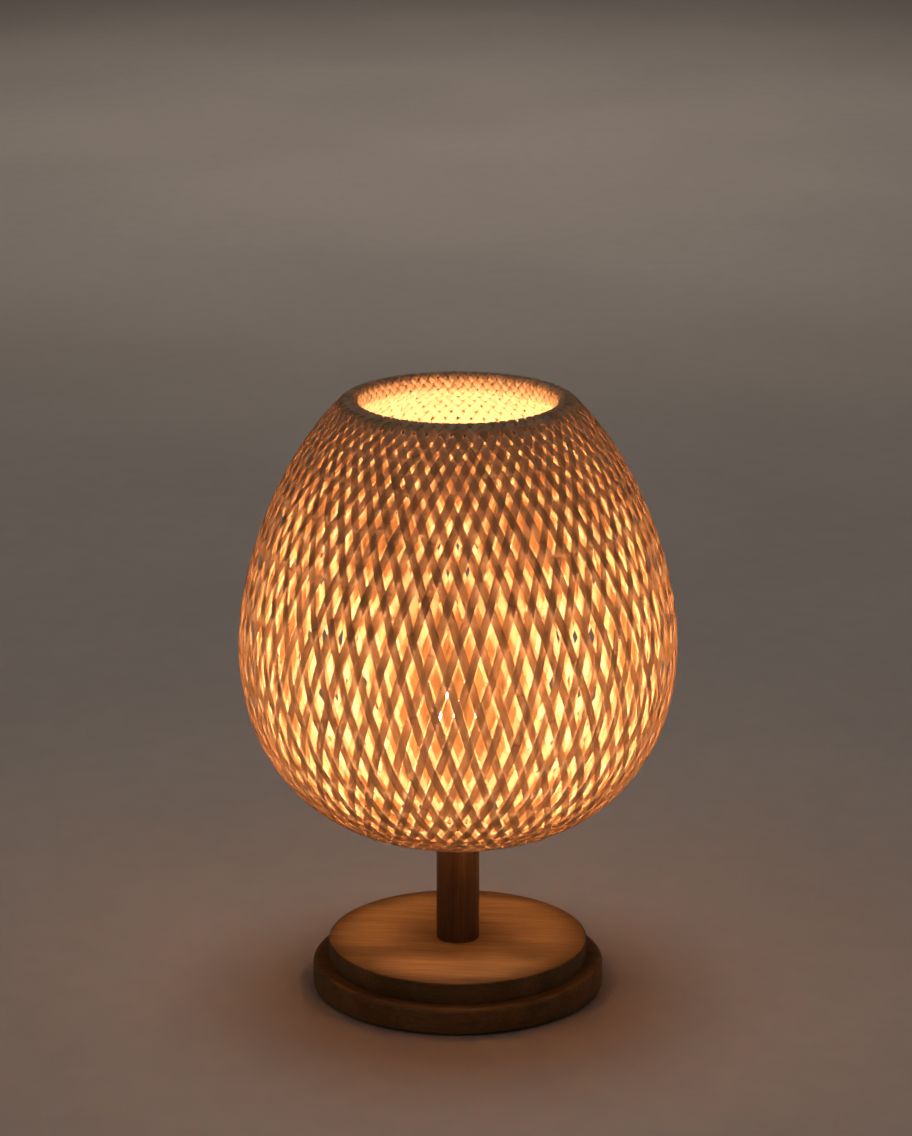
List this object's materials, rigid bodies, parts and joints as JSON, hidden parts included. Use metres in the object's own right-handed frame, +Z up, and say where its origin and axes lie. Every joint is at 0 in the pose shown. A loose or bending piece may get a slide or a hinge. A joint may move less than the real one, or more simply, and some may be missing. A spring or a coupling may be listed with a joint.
{
  "type": "table lamp",
  "caption": "Table lamp with a woven bamboo globe shade that lifts off, a dowel stem, a stepped round wooden base and a screw-in filament bulb.",
  "frame": {"origin": "on the surface that the lamp stands on, under the middle of its base", "axes": "+Z up along the stem and the shade's axis, +Y towards the back, where the cord's gland is, +X to the right"},
  "size_m": [0.267, 0.267, 0.3745],
  "materials": {
    "base_wood": "light hardwood, straight fine grain, matt oil",
    "stem_wood": "hardwood dowel, grain along its length, matt oil",
    "bamboo_outer": "split bamboo strips, woven, unvarnished",
    "bamboo_rim": "split bamboo strips folded over a hoop",
    "bamboo_inner": "split bamboo strips, woven, unvarnished",
    "cane_hoop": "round cane",
    "fibreboard": "hard fibreboard",
    "felt": "pressed felt",
    "black_rubber": "moulded, matt",
    "zinc_screw": "zinc plated",
    "zinc_tube": "yellow zinc plated",
    "terminal_plastic": "moulded nylon",
    "brown_insulation": "PVC sleeve",
    "blue_insulation": "PVC sleeve",
    "carrier_paint": "powder coat, off-white",
    "holder_plastic": "moulded, satin ivory",
    "white_ceramic": "unglazed steatite",
    "brass_contact": "bare brass",
    "solder": "tin solder",
    "black_glass": "black vitrite",
    "nickel_cap": "nickel-plated",
    "circuit_board": "fibreglass board",
    "mount_glass": "clear glass",
    "support_wire": "drawn wire",
    "led_phosphor": "glowing phosphor strip",
    "clear_glass": "clear blown glass"
  },
  "bodies": {
    "lamp_base": {"base_lower_disc": "base_wood", "base_upper_disc": "base_wood", "base_cover": "fibreboard", "base_cover_screws": "zinc_screw", "base_disc_screws": "zinc_screw", "base_felt_feet": "felt", "cord_gland": "black_rubber", "stem": "stem_wood", "threaded_tube": "zinc_tube", "tube_washer": "zinc_tube", "tube_nut": "zinc_tube", "terminal_block": "terminal_plastic", "live_wire": "brown_insulation", "neutral_wire": "blue_insulation", "shade_carrier": "carrier_paint", "holder_cap": "holder_plastic", "holder_lock_screw": "zinc_screw", "holder_insert": "white_ceramic", "holder_terminal_screws": "brass_contact", "holder_shell": "holder_plastic", "holder_screw_sleeve": "brass_contact", "holder_centre_spring": "brass_contact"},
    "bulb_thread": {"bulb_contact": "solder"},
    "bulb": {"bulb_insulator": "black_glass", "bulb_screw_cap": "nickel_cap", "bulb_driver": "circuit_board", "bulb_mount": "mount_glass", "bulb_filament_wires": "support_wire", "bulb_led_filaments": "led_phosphor", "bulb_glass": "clear_glass"},
    "shade": {"shade_outer_weave": "bamboo_outer", "shade_rim_fold": "bamboo_rim", "shade_inner_weave": "bamboo_inner", "shade_bottom_binding": "bamboo_rim", "shade_rim_hoop": "cane_hoop", "shade_bottom_hoop": "cane_hoop"}
  },
  "joints": [
    {"name": "shade_lift", "type": "slide", "parent": "lamp_base", "child": "shade", "axis": [0, 0, 1], "range_m": [0, 0.13]},
    {"name": "bulb_lift", "type": "slide", "parent": "lamp_base", "child": "bulb_thread", "axis": [0, 0, 1], "range_m": [0, 0.0115]},
    {"name": "bulb_turn", "type": "hinge", "parent": "bulb_thread", "child": "bulb", "pos_m": [0, 0, 0.14], "axis": [0, 0, 1], "range_deg": [0, 1080]}
  ],
  "couplings": [
    {"joint": "bulb_lift", "follows": "bulb_turn", "m_per_rad": 0.00057757}
  ]
}
